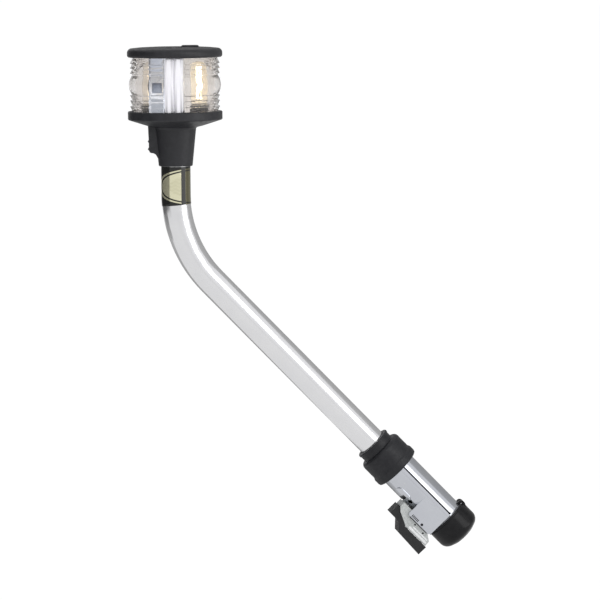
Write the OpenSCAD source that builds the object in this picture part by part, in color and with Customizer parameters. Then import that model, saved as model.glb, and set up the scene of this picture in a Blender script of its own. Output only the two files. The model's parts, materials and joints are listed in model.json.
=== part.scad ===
// Two-bulb navigation light on a bent pole, held in a latching clamp sleeve.
// Origin: centre of the sleeve's mouth. +Z is up, and the head's axis is vertical.
// The stem's axis leans and its mouth points down and to the right.

/* [Pole] */
// Outside diameter of the pole
pole_d = 25.4; // [24:0.1:25.4]
// Wall of the pole
pole_wall = 1.65; // [1.2:0.05:1.8]
// Distance from the sleeve's mouth to the corner where the two axes meet
stem_run = 344.4; // [320:0.1:380]
// Angle between the stem and the head's axis
lean = 44; // [43:0.5:46]
// Centreline radius of the bend
bend_r = 111; // [100:1:125]
// Height of the pole's top above the corner
pole_top = 92; // [88:1:96]

/* [Head] */
// Turn of the head on the pole
head_turn = -6; // [-20:1:20]
// Diameter of the top cap
cap_d = 83.8; // [83:0.1:88]
// Diameter of the base flange
flange_d = 83.2; // [82:0.1:84]
// Height of the lens's lower edge above the corner
lens_low = 118.2; // [118:0.1:119]
// Height of the lens's upper edge above the corner
lens_high = 165.7; // [165.5:0.1:167]
// Thickness of the top cap
cap_t = 9.1; // [8:0.1:10]
// Distance of each bulb from the head's axis
bulb_x = 21.5; // [20:0.5:23]
// Radius of a bulb's glass
bulb_r = 7.8; // [7:0.1:8.5]

/* [Switch] */
// Height of the rocker's pin above the corner
rocker_z = 88.4; // [88:0.1:89]
// Distance of the rocker's pin from the head's axis
rocker_x = 21.4; // [21:0.1:21.8]
// Radius of the rocker's ends about its pin
rocker_r = 5.1; // [4.8:0.1:5.3]

/* [Sleeve] */
// Outside diameter of the clamp sleeve
sleeve_d = 33.5; // [33:0.1:34.5]
// Diameter of the socket that takes the boat's stub
socket_d = 25.7; // [25.6:0.05:26]
// Depth of that socket
socket_len = 31; // [30:0.5:31]
// Height of the sleeve's top above its mouth
sleeve_len = 77.4; // [77:0.1:79]
// Width of the clamping slit
slit_w = 1.3; // [1:0.1:1.4]
// Turn of the slit from the front of the sleeve
slit_angle = 16; // [12:1:24]

/* [Collar] */
// Height of the collar's lower face above the mouth
collar_low = 63.4; // [62:0.1:64]
// Diameter of the collar's lower lip
collar_lip_d = 43.8; // [42:0.2:46]
// Diameter of the collar's main barrel
collar_d = 41.6; // [40:0.2:42]

/* [Latch] */
// Height of the latch pivot above the mouth
pivot_h = 14.9; // [14:0.1:15]
// Distance of the latch pivot from the sleeve's axis
pivot_w = 20.1; // [20:0.1:20.5]
// Thickness of each cheek
cheek_t = 3; // [2.5:0.1:3]
// Half width of the grip
grip_half = 14; // [13.8:0.1:16]

/* [End cap] */
// Outside diameter of the end cap
end_cap_d = 40.3; // [40:0.1:42]
// How far the end cap's skirt overlaps the sleeve
skirt = 2.5; // [2:0.1:2.8]
// Depth of the end cap below the mouth
end_cap_depth = 22.1; // [20:0.1:24]
// Distance of the hinge pin from the sleeve's axis
hinge_w = 17.9; // [17.8:0.05:18]
// Height of the hinge pin above the mouth
hinge_h = 1.2; // [1.1:0.05:1.3]

/* [Hidden] */
$fn = 96;

eps = 0.01;
slip = 0.02;
gap = 0.3;
pole_r = pole_d / 2;
pole_in = pole_r - pole_wall;
corner_x = -stem_run * sin(lean);
corner_z = stem_run * cos(lean);
tangent = bend_r * tan(lean / 2);
bend_end = stem_run - tangent;
pole_end = 47.6;
wire_pitch = 4;
wire_r = 1.1;
wire_top = 98;
wire_low = 62;

sleeve_r = sleeve_d / 2;
socket_r = socket_d / 2;
grip_bore_r = pole_r + 0.65;
liner_r = pole_r + 0.05;
relief_r = socket_r + 0.85;
relief_top = 47;
collar_bore_r = pole_r + gap;
collar_top = collar_low + 32.8;
collar_lip_r = collar_lip_d / 2;
collar_neck_r = 16;
collar_slack = 0.25;
shoulder_r = 4;
neck_bead = 0.6;
seal_h = collar_low + 29.5;
seal_groove_half = 1.1;
seal_groove_depth = 1.7;
seal_ring_r = 13.75;
seal_wire_r = 0.9;
slit_low = 4.4;
slit_end_r = 1.1;
slit_reach = 8;
cheek_low = 3.2;
cheek_high = 30.4;
cheek_reach = 22;
cheek_in = sleeve_r - cheek_t;
cheek_chamfer = 1.8;
sleeve_core = 10;
lever_half = cheek_in - gap;
window_low = 32.4;
window_high = 41.6;
window_half = 4.2;
lobe_turn = 40;
lobe_half = 4.6;
lobe_proud = 0.9;
lobe_tip = 41.6;
lobe_top = 48.5;
lobe_in = 15;
drain_h = 36.2;
drain_r = 2.2;
tooth_half = window_half - 0.4;
latch_pin_r = 1.25;
cross_pin_r = 0.8;
cross_pins = [[-24.3, 18.6], [-24.8, 8.2]];
rivet_r = 1.2;
rivet_heights = [1.5, 19];
rivet_seat = 28.6;
spring_half = 5;
grip_tip_half = 10.5;
grip_land = 13.8;

hinge_r = 1;
ear_r = 3.2;
ear_in = 3.1;
ear_out = 5.7;
lug_half = 2.8;
lug_r = 2.5;
lug_root = 14.5;
lug_low = 0.2;
lug_h = 3.4;
notch_w = 14.2;
notch_half = 6.1;
notch_h = 5;
skirt_gap = 9.5;
end_cap_r = end_cap_d / 2;
skirt_in = sleeve_r + gap;
seal_ledge = -1.7;
seal_in = 13.2;
seal_out = 16.9;
seal_gap = 0.2;
cap_floor = -end_cap_depth + 3.2;
cap_in = 15;
rim_round = 7.5;

cap_r = cap_d / 2;
flange_r = flange_d / 2;
lens_in = 35;
lens_notch = 37.75;
lens_tip = 39.5;
barrel_r = 40.4;
barrel_mid = 141.4;
barrel_half = 8.5;
barrel_curve = 14.5;
spigot = 2.4;
spigot_r = 37.4;
groove = spigot + 0.5;
groove_in = 34.8;
groove_out = 37.7;
gasket_t = 0.3;
left_edge = 34.3;
right_edge = 13.4;
upper_tips = [160.3, 156, 151.5];
lower_tips = [132.4, 127.7, 122.6];
tooth_h = 3.6;
screen_reach = 38.2;
screen_top = 164.8;
screen_seam = 0.15;
screen_half = 8;
window_mid = [-14.8, -33.6];
window_turn = -23.3;
window_w = 13.6;
window_t = 2;
screw_y = 24;
screw_x = 4.4;
screw_r = 1.5;
screw_head = [3, 2.8, 1.8];

neck_low = 70;
wire_hole_r = 2;
wire_pos = [10, 9, 101];
wire_room_r = 13.6;
wire_room_h = 16;
boss_reach = 30;
// Left face, width, depth and height of the switch, and of the room cut for it
switch_size = [-16.2, 1.9, 8, 8.8];
switch_room = [-20.6, 6.4, 8.4, 9.2];
rocker_pin_r = 0.75;
rocker_pin_half = 5.3;
rocker_half = 3.3;
set_screw_z = 75.5;
set_screw_r = 2;
socket_out_r = 8.6;
socket_in_r = 7.65;
socket_h = 8.3;
bulb_dome = 31;
leg_r = 0.3;
leg_y = 3;
shutter = [8, 0.8, 9];
shutter_mid = [-14.9, -31.2, 139.7];

// Outline of a rectangle from [x0, y0] to [x1, y1] with corners of radius r
function rounded(x0, y0, x1, y1, r, steps = 6) = [
    for (corner = [[x1 - r, y1 - r, 0], [x0 + r, y1 - r, 90], [x0 + r, y0 + r, 180], [x1 - r, y0 + r, 270]])
        for (i = [0 : steps])
            [corner[0] + r * cos(corner[2] + 90 * i / steps), corner[1] + r * sin(corner[2] + 90 * i / steps)]
];

// Points of an arc about [x, y] from angle a0 to angle a1
function arc(x, y, r, a0, a1, steps = 8) = [
    for (i = [0 : steps])
        [x + r * cos(a0 + (a1 - a0) * i / steps), y + r * sin(a0 + (a1 - a0) * i / steps)]
];

// Local Z runs up the stem from the mouth, and local X away from the latch
module at_stem() {
    rotate([0, -lean, 0]) children();
}

// Local Z runs up the head's axis from the corner
module at_head() {
    translate([corner_x, 0, corner_z]) rotate([0, 0, head_turn]) children();
}

// A side outline in local X and Z, as a plate from y0 to y1
module side_plate(points, y0, y1) {
    translate([0, y1, 0]) rotate([90, 0, 0]) linear_extrude(y1 - y0) polygon(points);
}

// A round bar along local Y, centred, at local x and z
module cross_bar(x, z, r, half) {
    translate([x, half, z]) rotate([90, 0, 0]) cylinder(r = r, h = 2 * half);
}

// A round bar that follows the pole's centreline, from height top down to stem height low
module bent_bar(r, top, low) {
    translate([corner_x, 0, corner_z + tangent]) cylinder(r = r, h = top - tangent);
    translate([corner_x + bend_r, 0, corner_z + tangent])
        rotate([90, 0, 0]) rotate([0, 0, 180])
            rotate_extrude(angle = lean) translate([bend_r, 0]) circle(r = r, $fn = 64);
    at_stem() translate([0, 0, low]) cylinder(r = r, h = bend_end - low);
}

// ---------------------------------------------------------------- sleeve

// A raised lobe with rounded ends, on one side of the latch window
module window_lobe(side) {
    length = sleeve_r + 2 - lobe_in;
    intersection() {
        rotate([0, 0, side * lobe_turn]) translate([-sleeve_r - 2, 0, 0]) union() {
            translate([0, -lobe_half, lobe_tip]) cube([length, 2 * lobe_half, lobe_top - lobe_tip]);
            for (h = [lobe_tip, lobe_top])
                translate([0, 0, h]) rotate([0, 90, 0]) cylinder(r = lobe_half, h = length);
        }
        cylinder(r = sleeve_r + lobe_proud, h = sleeve_len);
    }
}

module sleeve_shape() {
    rim = 0.4;
    taper = [1.8, 4];
    corner = 1.2;
    rotate_extrude() polygon([
        [sleeve_core, 0], [sleeve_r - rim, 0], [sleeve_r, rim], [sleeve_r, sleeve_len - taper[1]],
        [sleeve_r - taper[0], sleeve_len], [sleeve_core, sleeve_len]
    ]);
    for (side = [-1, 1])
        side_plate(
            [[0, cheek_low], [0, cheek_high], [corner - cheek_reach, cheek_high],
             [-cheek_reach, cheek_high - corner], [-cheek_reach, cheek_low + cheek_chamfer],
             [cheek_chamfer - cheek_reach, cheek_low]],
            side > 0 ? cheek_in : -sleeve_r, side > 0 ? sleeve_r : -cheek_in
        );
    for (side = [-1, 1]) window_lobe(side);
    cross_bar(hinge_w, hinge_h, lug_r, lug_half);
    translate([lug_root, -lug_half, lug_low]) cube([hinge_w - lug_root, 2 * lug_half, lug_h]);
}

// Room for the end cap's ears, one on each side of the lug
module hinge_notches() for (side = [-1, 1])
    translate([notch_w, side > 0 ? lug_half : -notch_half, -1])
        cube([sleeve_r, notch_half - lug_half, notch_h + 1]);

module clamp_sleeve() color("silver") at_stem() difference() {
    sleeve_shape();
    translate([0, 0, -1]) cylinder(r = socket_r, h = socket_len + 1);
    translate([0, 0, socket_len - eps]) cylinder(r = relief_r, h = relief_top - socket_len + 2 * eps);
    translate([0, 0, relief_top]) cylinder(r = grip_bore_r, h = sleeve_len);
    rotate([0, 0, slit_angle]) translate([-slit_w / 2, -sleeve_d, slit_low])
        cube([slit_w, sleeve_d - slit_reach, sleeve_len]);
    rotate([0, 0, slit_angle]) translate([0, -slit_reach, slit_low])
        rotate([90, 0, 0]) cylinder(r = slit_end_r, h = sleeve_d);
    translate([-sleeve_d, -window_half, window_low])
        cube([sleeve_d - slit_reach, 2 * window_half, window_high - window_low]);
    for (side = [-1, 1])
        rotate([0, 0, side * lobe_turn]) translate([-sleeve_r - 2, 0, drain_h])
            rotate([0, 90, 0]) cylinder(r = drain_r, h = slit_reach);
    cross_bar(-pivot_w, pivot_h, latch_pin_r + slip, sleeve_r + 1);
    cross_bar(hinge_w, hinge_h, hinge_r + slip, lug_half + 1);
    hinge_notches();
}

// Black liner that the sleeve squeezes on to the pole
module grip_liner() color("#1d1d1f") at_stem() translate([0, 0, relief_top + 0.1]) difference() {
    cylinder(r = grip_bore_r - slip, h = sleeve_len - relief_top - 0.2);
    translate([0, 0, -1]) cylinder(r = liner_r, h = sleeve_len);
}

module latch_pin() color("gray") at_stem() cross_bar(-pivot_w, pivot_h, latch_pin_r, sleeve_r - 0.1);

module cap_hinge_pin() color("gray") at_stem() cross_bar(hinge_w, hinge_h, hinge_r, ear_out - 0.1);

// Nylon ring that the collar squeezes round the pole
module compression_ring() color("ivory") at_stem() rotate_extrude() polygon([
    [pole_r + 0.12, sleeve_len + 0.1], [sleeve_r - 1, sleeve_len + 0.1],
    [sleeve_r - 0.6, sleeve_len + 1], [sleeve_r - 3.2, sleeve_len + 3.8], [pole_r + 0.12, sleeve_len + 3.8]
]);

// Torsion spring round the latch pin, with one leg on the sleeve and one on the lever
module latch_spring() color("dimgray") at_stem() translate([-pivot_w, 0, pivot_h]) {
    coils = 5;
    coil_r = 2.2;
    wire_r = 0.4;
    coil_half = 3.4;
    translate([0, coil_half, 0]) rotate([90, 0, 0])
        linear_extrude(2 * coil_half, twist = 360 * coils, slices = 90, $fn = 10)
            translate([coil_r, 0]) circle(r = wire_r);
}

// ---------------------------------------------------------------- collar

module locking_collar() color("#2b2b2d") at_stem() rotate_extrude() polygon([
    [sleeve_r + collar_slack, collar_low],
    [collar_lip_r - 1.6, collar_low],
    [collar_lip_r - 0.5, collar_low + 0.6],
    [collar_lip_r, collar_low + 2],
    [collar_lip_r, collar_low + 6.3],
    [collar_lip_r - 0.5, collar_low + 7.5],
    [collar_d / 2, collar_low + 8.4],
    each arc(collar_d / 2 - shoulder_r, collar_low + 21, shoulder_r, 0, 90),
    [collar_neck_r, collar_low + 25.4],
    [collar_neck_r, collar_top - 2.5],
    [collar_neck_r + neck_bead, collar_top - 2],
    [collar_neck_r + neck_bead, collar_top - 0.6],
    [collar_neck_r, collar_top],
    [collar_bore_r, collar_top],
    [collar_bore_r, seal_h + seal_groove_half],
    [collar_bore_r + seal_groove_depth, seal_h + seal_groove_half],
    [collar_bore_r + seal_groove_depth, seal_h - seal_groove_half],
    [collar_bore_r, seal_h - seal_groove_half],
    [collar_bore_r, sleeve_len + 4.6],
    [sleeve_r + collar_slack, sleeve_len + 2]
]);

module collar_seal() color("black") at_stem() translate([0, 0, seal_h])
    rotate_extrude() translate([seal_ring_r, 0]) circle(r = seal_wire_r, $fn = 24);

// ---------------------------------------------------------------- pole

module pole() color("gainsboro") difference() {
    bent_bar(pole_r, pole_top, pole_end);
    bent_bar(pole_in, pole_top + 1, pole_end - 1);
}

// Printed band: a thin skin that runs from the neck down into the bend
module label_band() color("black") {
    skin = 0.25;
    low = 35.8;
    top = neck_low - 0.3;
    sweep = asin((tangent - low) / bend_r);
    translate([corner_x, 0, corner_z + tangent]) difference() {
        cylinder(r = pole_r + slip + skin, h = top - tangent);
        translate([0, 0, -1]) cylinder(r = pole_r + slip, h = top);
    }
    translate([corner_x + bend_r, 0, corner_z + tangent])
        rotate([90, 0, 0]) rotate([0, 0, 180]) rotate_extrude(angle = sweep) translate([bend_r, 0])
            difference() {
                circle(r = pole_r + slip + skin, $fn = 64);
                circle(r = pole_r + slip, $fn = 64);
            }
}

module wires() color("firebrick") for (side = [-1, 0, 1])
    translate([0, side * wire_pitch, 0]) bent_bar(wire_r, wire_top, wire_low);

// Insulating plug in the pole's lower end
module contact_plug() color("#222222") at_stem() rotate_extrude() polygon([
    [2.05, 44], [7.9, 44], [7.9, 45.2], [9.7, 45.2], [9.7, 44], [12, 44], [12.4, 44.4],
    [12.4, pole_end - 0.1], [pole_in - 0.05, pole_end - 0.1], [pole_in - 0.05, 61.5],
    [1, 61.5], [1, 60.2], [2.7, 60.2], [2.7, 50.4], [2.05, 50.4]
]);

module contact_ring() color("goldenrod") at_stem() rotate_extrude() polygon([
    [8, 43.4], [9.6, 43.4], [9.6, 45.1], [8, 45.1]
]);

// Centre contact: its collar stops it inside the plug
module contact_plunger() color("goldenrod") at_stem() rotate_extrude() polygon([
    [0, 41.6], [1.2, 41.6], [2, 42.4], [2, 50.5], [2.6, 50.5], [2.6, 51.9], [0, 51.9]
]);

module plunger_spring() color("silver") at_stem() translate([0, 0, 52])
    linear_extrude(8.1, twist = -360 * 6, slices = 96, $fn = 10) translate([1.9, 0]) circle(r = 0.3);

// ---------------------------------------------------------------- head base and switch

module boss_shape() {
    half = 6.5;
    side_plate([
        [-10, 108], [-24.4, 108], [-23.9, 105.8], [-23, 83.5], [-22.4, 82.3], [-21.4, 81.8],
        [-19.2, 81.5], [-17.2, 80.3], [-15.2, 76.8], [-10, 76.8]
    ], -half, half);
}

module base_shape() rotate_extrude() polygon([
    [10, neck_low], [14.5, neck_low], [14.95, neck_low + 0.5], [18.1, 101.4],
    each arc(20.4, 102.2, 2.2, 170, 95, 4),
    [24.5, 105.4], [flange_r - 0.8, 110.6], [flange_r, 111.4], [flange_r, lens_low - 0.6],
    [flange_r - 0.5, lens_low], [10, lens_low]
]);

module head_base() color("#39393b") at_head() difference() {
    union() {
        base_shape();
        boss_shape();
    }
    translate([0, 0, neck_low - 1]) cylinder(r = pole_r + slip, h = pole_top + 1.4 - neck_low);
    translate([0, 0, pole_top]) cylinder(r = wire_room_r, h = wire_room_h);
    difference() {
        translate([0, 0, lens_low - groove]) cylinder(r = groove_out, h = groove + 1);
        translate([0, 0, lens_low - groove - 1]) cylinder(r = groove_in, h = groove + 3);
    }
    for (side = [-1, 1])
        translate([side * wire_pos[0], wire_pos[1], wire_pos[2]]) cylinder(r = wire_hole_r, h = 20);
    cross_bar(-rocker_x, rocker_z, rocker_r + 0.25, rocker_half + gap);
    translate([-boss_reach, -rocker_half - gap, rocker_z - 5])
        cube([boss_reach - rocker_x, 2 * (rocker_half + gap), 10]);
    translate([switch_room[0], -switch_room[2] / 2, rocker_z - switch_room[3] / 2])
        cube([switch_room[1], switch_room[2], switch_room[3]]);
    cross_bar(-rocker_x, rocker_z, rocker_pin_r + slip, rocker_pin_half + 0.1);
    translate([0, 8, set_screw_z]) rotate([-90, 0, 0]) cylinder(r = set_screw_r + slip, h = 12);
}

// Grub screw at the back of the neck that locks the head on the pole
module neck_set_screw() color("silver") at_head() difference() {
    translate([0, pole_r + 0.1, set_screw_z]) rotate([-90, 0, 0]) cylinder(r = set_screw_r, h = 2.7);
    translate([0, pole_r + 1.4, set_screw_z]) rotate([-90, 0, 0]) cylinder(r = set_screw_r / 2, h = 2, $fn = 6);
}

module switch_body() color("#1c1c1e") at_head()
    translate([switch_size[0], -switch_size[2] / 2, rocker_z - switch_size[3] / 2])
        cube([switch_size[1], switch_size[2], switch_size[3]]);

module rocker_pin() color("gray") at_head() cross_bar(-rocker_x, rocker_z, rocker_pin_r, rocker_pin_half);

// Rocker: a slice of a drum about its pin, with a grip ridge near each end
module switch_rocker() color("#303032") at_head() difference() {
    union() {
        intersection() {
            cross_bar(-rocker_x, rocker_z, rocker_r, rocker_half);
            translate([-23.4, -4, rocker_z - 6]) cube([4.6, 8, 12]);
        }
        for (side = [-1, 1]) cross_bar(-23.3, rocker_z + side * 3.35, 0.95, rocker_half);
        translate([-21.4, -1.5, rocker_z - 1.2]) cube([4.9, 3, 2.4]);
    }
    cross_bar(-rocker_x, rocker_z, rocker_pin_r + 0.05, rocker_half + 1);
}

// ---------------------------------------------------------------- lens and screens

// One saw-tooth rib: dir is 1 with its flat face below the tip, -1 with it above
function rib(z, dir) = dir > 0
    ? [[lens_notch, z - 0.35], [lens_tip, z], [lens_notch, z + tooth_h]]
    : [[lens_notch, z - tooth_h], [lens_tip, z], [lens_notch, z + 0.35]];

function lens_outline() = [
    [lens_in, lens_low - spigot], [spigot_r, lens_low - spigot], [spigot_r, lens_low + 0.4],
    for (i = [2 : -1 : 0]) each rib(lower_tips[i], -1),
    for (i = [0 : 12])
        let (z = barrel_mid - barrel_half + 2 * barrel_half * i / 12)
        [barrel_r - barrel_curve + sqrt(pow(barrel_curve, 2) - pow(z - barrel_mid, 2)), z],
    for (i = [2 : -1 : 0]) each rib(upper_tips[i], 1),
    [spigot_r, lens_high - 0.6], [spigot_r, lens_high + spigot], [lens_in, lens_high + spigot]
];

module lens_arc(start, sweep) rotate([0, 0, start]) rotate_extrude(angle = sweep) polygon(lens_outline());

module left_lens() color([0.93, 0.94, 0.93, 0.4]) at_head() lens_arc(90 + left_edge, 180 - 2 * left_edge);

module right_lens() color([0.93, 0.94, 0.93, 0.4]) at_head() difference() {
    lens_arc(right_edge - 90, 180 - 2 * right_edge);
    translate([0, -cap_r, lens_low - 2 * spigot]) cube([screen_half + 0.1, cap_d, lens_high - lens_low + 4 * spigot]);
}

// Flat clear windows with ladder ribs, between each left lens edge and the screens
module ladder_windows() color([0.85, 0.9, 0.95, 0.4]) at_head() for (side = [0, 1])
    mirror([0, side, 0]) translate([window_mid[0], window_mid[1], 0]) rotate([0, 0, window_turn]) {
        translate([-window_w / 2, -window_t, lens_low + 0.2])
            cube([window_w, window_t, lens_high - lens_low - 0.4]);
        for (z = concat(upper_tips, lower_tips))
            translate([-window_w / 2, -window_t - 0.9, z - 0.6]) cube([window_w, 0.95, 1.5]);
    }

module light_shutter() color("#3c4660") at_head() translate(shutter_mid) rotate([0, 0, window_turn])
    translate([-shutter[0] / 2, 0, -shutter[2] / 2]) cube(shutter);

// Half of the white divider; side is -1 for the left bulb and 1 for the right one
module screen(side) at_head() difference() {
    intersection() {
        side_plate(
            rounded(side > 0 ? screen_seam : -screen_half, lens_low + 0.15,
                    side > 0 ? screen_half : -screen_seam, screen_top, 1.5),
            -screen_reach, screen_reach
        );
        cylinder(r = screen_reach, h = 200);
    }
    translate([side * bulb_x, 0, lens_low - 1]) cylinder(r = 14.6, h = 60);
    for (y = [-screw_y, screw_y])
        translate([side * screw_x, y, screen_top - 8]) cylinder(r = screw_r + 0.05, h = 10);
}

module left_screen() color("white") screen(-1);

module right_screen() color("white") screen(1);

module bulb_sockets() color("#151515") at_head() for (side = [-1, 1])
    translate([side * bulb_x, 0, lens_low + 0.05]) difference() {
        cylinder(r = socket_out_r, h = socket_h);
        translate([0, 0, 1]) cylinder(r = socket_in_r, h = socket_h);
    }

module socket_springs() color("goldenrod") at_head() for (side = [-1, 1])
    translate([side * bulb_x, 0, lens_low + 1.1]) difference() {
        cylinder(r = 3, h = 0.7);
        translate([0, 0, -1]) cylinder(r = 1, h = 3);
    }

module bulb_bases() color("#b8b09a") at_head() for (side = [-1, 1])
    translate([side * bulb_x, 0, lens_low]) rotate_extrude() polygon([
        [0, 1.9], [2.5, 1.9], [2.5, 2.6], [7.2, 2.6], [7.5, 3], [7.5, 12], [6.8, 12], [6.8, 4], [0, 4]
    ]);

module bulb_glass(side) at_head() translate([side * bulb_x, 0, lens_low]) rotate_extrude() polygon([
    [5.6, 8], [6.6, 8], [6.6, 12.1], [bulb_r, 14],
    each arc(0, bulb_dome, bulb_r, 0, 90, 10),
    each arc(0, bulb_dome, bulb_r - 0.7, 90, 0, 10),
    [bulb_r - 0.7, 14.4], [5.6, 12.4]
]);

module left_bulb_glass() color([1, 0.96, 0.85, 0.4]) bulb_glass(-1);

module right_bulb_glass() color([1, 0.96, 0.85, 0.4]) bulb_glass(1);

module filaments() color("dimgray") at_head() for (side = [-1, 1])
    translate([side * bulb_x, 0, lens_low]) {
        for (leg = [-1, 1]) translate([0, leg * leg_y, 4.1]) cylinder(r = leg_r, h = 23.35, $fn = 24);
        cross_bar(0, 28, 0.5, leg_y + leg_r);
    }

module flat_ring(z, t) at_head() translate([0, 0, z]) difference() {
    cylinder(r = groove_out - 0.1, h = t);
    translate([0, 0, -1]) cylinder(r = groove_in + 0.1, h = t + 2);
}

module base_gasket() color("black") flat_ring(lens_low - groove + 0.05, gasket_t);

module cap_gasket() color("black") flat_ring(lens_high + groove - gasket_t - 0.05, gasket_t);

// ---------------------------------------------------------------- top cap

module cap_shape() {
    crown = lens_high + cap_t;
    translate([0, 0, lens_high]) rotate_extrude() polygon([
        [0, 0], [cap_r - 1.3, 0], [cap_r - 0.3, 0.7], [cap_r, 2],
        each arc(cap_r - 4, cap_t - 5.2, 4, 0, 75, 6),
        [cap_r - 9, cap_t - 0.7], [cap_r - 18, cap_t - 0.25], [cap_r - 28, cap_t - 0.05], [0, cap_t]
    ]);
    side_plate([
        [5.8, crown - 2], [22.5, crown - 2], [20.6, crown + 0.9],
        [19.4, crown + 1.2], [7, crown + 1.2], [6.2, crown + 0.9]
    ], -9, 9);
}

module top_cap() color("#39393b") at_head() difference() {
    cap_shape();
    difference() {
        translate([0, 0, lens_high - 1]) cylinder(r = groove_out, h = groove + 1);
        translate([0, 0, lens_high - 2]) cylinder(r = groove_in, h = groove + 3);
    }
    for (x = [-screw_x, screw_x], y = [-screw_y, screw_y]) {
        translate([x, y, lens_high - 1]) cylinder(r = screw_r + 0.1, h = cap_t + 2);
        translate([x, y, lens_high + cap_t - 3]) cylinder(r = screw_head[0], h = 10);
    }
}

module cap_screws() color("silver") at_head() for (x = [-screw_x, screw_x], y = [-screw_y, screw_y])
    translate([x, y, 0]) difference() {
        union() {
            translate([0, 0, screen_top - 7]) cylinder(r = screw_r, h = lens_high + cap_t - screen_top + 5);
            translate([0, 0, lens_high + cap_t - 2.95]) cylinder(r = screw_head[1], h = screw_head[2]);
        }
        translate([0, 0, lens_high + cap_t - 2]) cylinder(r = 1.2, h = 3, $fn = 6);
    }

// ---------------------------------------------------------------- latch

module lever_shape() {
    side_plate([
        [-17.1, 39.6], [-17.1, 30], [-17.25, pivot_h + 2], [-17.25, pivot_h - 2], [-22.1, 4.8],
        each arc(-27.4, 1.2, 2.4, -20, -75, 4), [-31.2, -1.4], [-31.45, 23.7], [-28.1, 30.2],
        [-25.4, 36.1], [-22, 39.6]
    ], -lever_half, lever_half);
    side_plate([[-12, 34.8], [-12, 38.3], [-13.2, 39.3], [-18, 39.3], [-18, 33.8], [-12.8, 33.8]],
        -tooth_half, tooth_half);
    side_plate([[-27.2, 21.2], [-26, -0.2], [-30.9, -0.6], [-31.1, 23.3], [-28.4, 28.9]],
        -grip_land, grip_land);
}

module latch_lever() color("#b4b8b6") at_stem() difference() {
    lever_shape();
    cross_bar(-pivot_w, pivot_h, latch_pin_r + 0.06, sleeve_r);
    cross_bar(-pivot_w, pivot_h, 4, spring_half);
    translate([-20, -spring_half, pivot_h - 4]) cube([5, 2 * spring_half, 8]);
    for (p = cross_pins) cross_bar(p[0], p[1], cross_pin_r + slip, lever_half + 1);
    for (h = rivet_heights) translate([-35, 0, h]) rotate([0, 90, 0]) cylinder(r = rivet_r + slip, h = 12);
    for (h = rivet_heights) translate([-rivet_seat, 0, h]) rotate([0, 90, 0]) cylinder(r = 2.2, h = 16);
}

module latch_grip() color("#2e2e30") at_stem() difference() {
    intersection() {
        side_plate([
            [-32.5, 41.5], [-22.4, 41.5], [-22.4, 39.7], [-25.7, 36.3], [-28.4, 30.3], [-31.75, 23.8],
            [-31.5, -2.7], [-40.7, -2.5], [-39.6, 24], [-32.6, 30.9]
        ], -grip_half, grip_half);
        translate([-50, 0, 0]) rotate([90, 0, 90]) linear_extrude(40) polygon([
            [-grip_half, -5], [grip_half, -5], [grip_half, 27], [grip_tip_half, 41.5],
            [-grip_tip_half, 41.5], [-grip_half, 27]
        ]);
    }
    for (h = rivet_heights) translate([-36, 0, h]) rotate([0, 90, 0]) cylinder(r = rivet_r + slip, h = 8);
}

module lever_cross_pins() color("dimgray") at_stem()
    for (p = cross_pins) cross_bar(p[0], p[1], cross_pin_r, lever_half - 0.05);

module grip_rivets() color("silver") at_stem() for (h = rivet_heights) {
    translate([-35.8, 0, h]) rotate([0, 90, 0]) cylinder(r = rivet_r, h = 35.8 - rivet_seat + 0.1);
    translate([-rivet_seat + 0.02, 0, h]) rotate([0, 90, 0]) cylinder(r = 2.1, h = 0.9);
}

// ---------------------------------------------------------------- end cap

module ear_outline() {
    translate([hinge_w, hinge_h]) circle(r = ear_r);
    polygon([
        [hinge_w - 0.8, -7], [hinge_w + 0.3, -7], [hinge_w + ear_r - 0.1, -0.2], [hinge_w + ear_r, hinge_h],
        [hinge_w, hinge_h], [hinge_w - 0.8, seal_ledge]
    ]);
}

module cap_profile() polygon([
    [0, -end_cap_depth], [6, -end_cap_depth + 0.25], [11.5, -end_cap_depth + 0.9],
    each arc(end_cap_r - rim_round, -end_cap_depth + rim_round + 2, rim_round, -64, 0, 8),
    [end_cap_r, 0.2], [end_cap_r - 0.35, 0.6], [end_cap_r, 1], [end_cap_r, 1.9],
    [end_cap_r - 0.5, skirt], [skirt_in, skirt], [skirt_in, seal_ledge], [cap_in, seal_ledge],
    [cap_in, cap_floor], [0, cap_floor]
]);

module end_cap() color("#262628") at_stem() difference() {
    union() {
        rotate_extrude() cap_profile();
        difference() {
            for (side = [-1, 1])
                translate([0, side > 0 ? ear_out : -ear_in, 0]) rotate([90, 0, 0])
                    linear_extrude(ear_out - ear_in) ear_outline();
            translate([0, 0, seal_ledge]) cylinder(r = skirt_in, h = -seal_ledge - 0.1);
        }
        translate([-20.9, -4, 0.4]) cube([3.3, 8, 2]);
    }
    translate([12, -ear_in, -0.3]) cube([14, 2 * ear_in, 12]);
    for (side = [-1, 1])
        translate([12, side > 0 ? ear_out : -skirt_gap, -0.3]) cube([14, skirt_gap - ear_out, 12]);
    cross_bar(hinge_w, hinge_h, hinge_r + 0.06, ear_out + 1);
    cross_bar(hinge_w, hinge_h, lug_r + gap, ear_in);
}

// Flat seal under the sleeve's mouth, hollowed where the hinge lug dips into it
module cap_seal() color("black") at_stem() difference() {
    rotate_extrude() polygon([
        [seal_in, seal_ledge + slip], [seal_out, seal_ledge + slip], [seal_out, -seal_gap], [seal_in, -seal_gap]
    ]);
    cross_bar(hinge_w, hinge_h, lug_r + gap, ear_in);
}

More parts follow.
